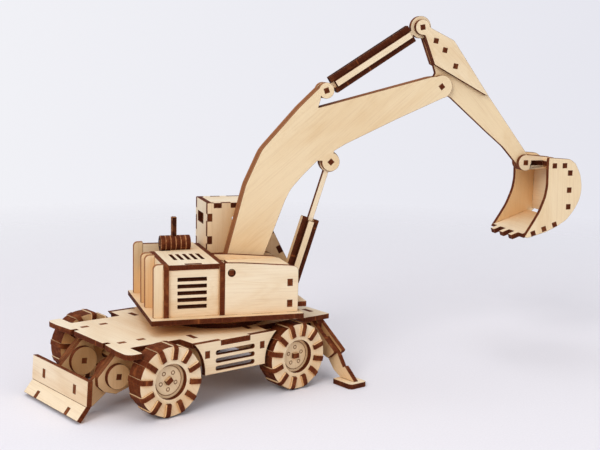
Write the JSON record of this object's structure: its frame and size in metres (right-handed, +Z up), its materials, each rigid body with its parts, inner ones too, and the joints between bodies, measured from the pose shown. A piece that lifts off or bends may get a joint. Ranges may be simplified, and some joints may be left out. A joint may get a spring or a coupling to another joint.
{
  "type": "toy excavator",
  "caption": "Laser-cut plywood toy excavator on wheels: slewing house with cab and engine box, boom, stick and bucket with two cylinders, dozer blade at one end and outriggers at the other.",
  "frame": {"origin": "centre of the bounding box on the ground plane", "axes": "+X from the blade end to the outrigger end of the chassis, +Y to the side the cab is on, +Z up"},
  "size_m": [0.333, 0.175, 0.2176],
  "materials": {
    "birch_ply": "satin",
    "burnt_ply_edge": "matte"
  },
  "bodies": {
    "chassis": {"deck_plate": "birch_ply", "side_skirts": "birch_ply", "crossmembers": "birch_ply", "axle_hangers": "birch_ply", "outrigger_carrier": "birch_ply", "outrigger_pins": "birch_ply", "turntable_base": "birch_ply"},
    "front_wheelset": {"front_left_tyre_discs": "birch_ply", "front_left_lugs": "burnt_ply_edge", "front_right_tyre_discs": "birch_ply", "front_right_lugs": "burnt_ply_edge", "front_axle": "birch_ply"},
    "rear_wheelset": {"rear_left_tyre_discs": "birch_ply", "rear_left_lugs": "burnt_ply_edge", "rear_right_tyre_discs": "birch_ply", "rear_right_lugs": "burnt_ply_edge", "rear_axle": "birch_ply"},
    "blade": {"blade_arms": "birch_ply", "blade_upper_plate": "birch_ply", "blade_lower_plate": "birch_ply", "blade_pivot_strip": "birch_ply", "blade_pivot_discs": "birch_ply"},
    "left_outrigger": {"left_outrigger_sleeve": "birch_ply", "left_outrigger_leg": "birch_ply", "left_foot_pad": "birch_ply"},
    "right_outrigger": {"right_outrigger_sleeve": "birch_ply", "right_outrigger_leg": "birch_ply", "right_foot_pad": "birch_ply"},
    "house": {"platform": "birch_ply", "turntable_disc": "birch_ply", "engine_rear_plate": "birch_ply", "engine_middle_plate": "birch_ply", "louvred_panels": "birch_ply", "engine_cover": "birch_ply", "rear_fins": "birch_ply", "muffler": "burnt_ply_edge", "right_side_panel": "birch_ply", "boom_bracket_plates": "birch_ply", "right_box_cover": "birch_ply", "front_cross_plate": "birch_ply", "front_step": "birch_ply", "cab_side_walls": "birch_ply", "cab_rear_wall": "birch_ply", "cab_roof": "birch_ply", "cab_windscreen": "birch_ply", "cylinder_foot_pin": "birch_ply"},
    "boom": {"boom_side_plates": "birch_ply", "boom_core": "birch_ply", "boom_pins": "birch_ply"},
    "boom_barrel": {"boom_cylinder_barrel": "birch_ply"},
    "boom_rod": {"boom_cylinder_rod": "birch_ply"},
    "stick_barrel": {"stick_cylinder_barrel": "birch_ply"},
    "stick_rod": {"stick_cylinder_rod": "birch_ply"},
    "stick": {"stick_core": "birch_ply", "stick_cheeks": "birch_ply", "stick_pegs": "birch_ply"},
    "bucket": {"bucket_side_plates": "birch_ply", "bucket_cross_plates": "birch_ply", "bucket_ears": "birch_ply", "bucket_pin": "birch_ply"}
  },
  "joints": [
    {"name": "front_axle_spin", "type": "hinge", "parent": "chassis", "child": "front_wheelset", "pos_m": [-0.12054, 0.01825, 0.02], "axis": [0, 1, 0], "continuous": true},
    {"name": "rear_axle_spin", "type": "hinge", "parent": "chassis", "child": "rear_wheelset", "pos_m": [-0.03354, 0.01825, 0.02], "axis": [0, 1, 0], "continuous": true},
    {"name": "blade_lift", "type": "hinge", "parent": "chassis", "child": "blade", "pos_m": [-0.13784, 0.01825, 0.0195], "axis": [0, 1, 0], "range_deg": [0, 25]},
    {"name": "left_outrigger_swing", "type": "hinge", "parent": "chassis", "child": "left_outrigger", "pos_m": [-0.00154, -0.00876, 0.029], "axis": [-1, 0, 0], "range_deg": [0, 25]},
    {"name": "right_outrigger_swing", "type": "hinge", "parent": "chassis", "child": "right_outrigger", "pos_m": [-0.00154, 0.04525, 0.029], "axis": [1, 0, 0], "range_deg": [0, 25]},
    {"name": "slew", "type": "hinge", "parent": "chassis", "child": "house", "pos_m": [-0.05704, 0.01825, 0.043], "axis": [0, 0, 1], "continuous": true},
    {"name": "boom_lift", "type": "hinge", "parent": "house", "child": "boom", "pos_m": [-0.05648, 0.01803, 0.0706], "axis": [-0.3657, -0.9307, 0], "range_deg": [-12, 12]},
    {"name": "boom_barrel_tilt", "type": "hinge", "parent": "house", "child": "boom_barrel", "pos_m": [-0.01534, 0.00186, 0.0522], "axis": [-0.3657, -0.9307, 0], "range_deg": [-11.88, 11.88]},
    {"name": "boom_rod_slide", "type": "slide", "parent": "boom_barrel", "child": "boom_rod", "axis": [0.2812, -0.1105, 0.9533], "range_m": [-0.01024, 0.01024]},
    {"name": "stick_swing", "type": "hinge", "parent": "boom", "child": "stick", "pos_m": [0.07354, -0.03306, 0.1752], "axis": [0.3657, 0.9307, 0], "range_deg": [0, 25]},
    {"name": "stick_barrel_tilt", "type": "hinge", "parent": "boom", "child": "stick_barrel", "pos_m": [0.00392, -0.00571, 0.1722], "axis": [0.3657, 0.9307, 0], "range_deg": [-0.5, 4.57]},
    {"name": "stick_rod_slide", "type": "slide", "parent": "stick_barrel", "child": "stick_rod", "axis": [0.7844, -0.3082, 0.5382], "range_m": [-0.0003, 0.01601]},
    {"name": "bucket_curl", "type": "hinge", "parent": "stick", "child": "bucket", "pos_m": [0.13004, -0.05526, 0.1276], "axis": [0.3657, 0.9307, 0], "range_deg": [-50, 40]}
  ],
  "couplings": [
    {"joint": "boom_barrel_tilt", "follows": "boom_lift", "ratio": 0.9486},
    {"joint": "boom_rod_slide", "follows": "boom_lift", "m_per_rad": 0.047447},
    {"joint": "stick_barrel_tilt", "follows": "stick_swing", "ratio": 0.1629},
    {"joint": "stick_rod_slide", "follows": "stick_swing", "m_per_rad": 0.036007}
  ]
}
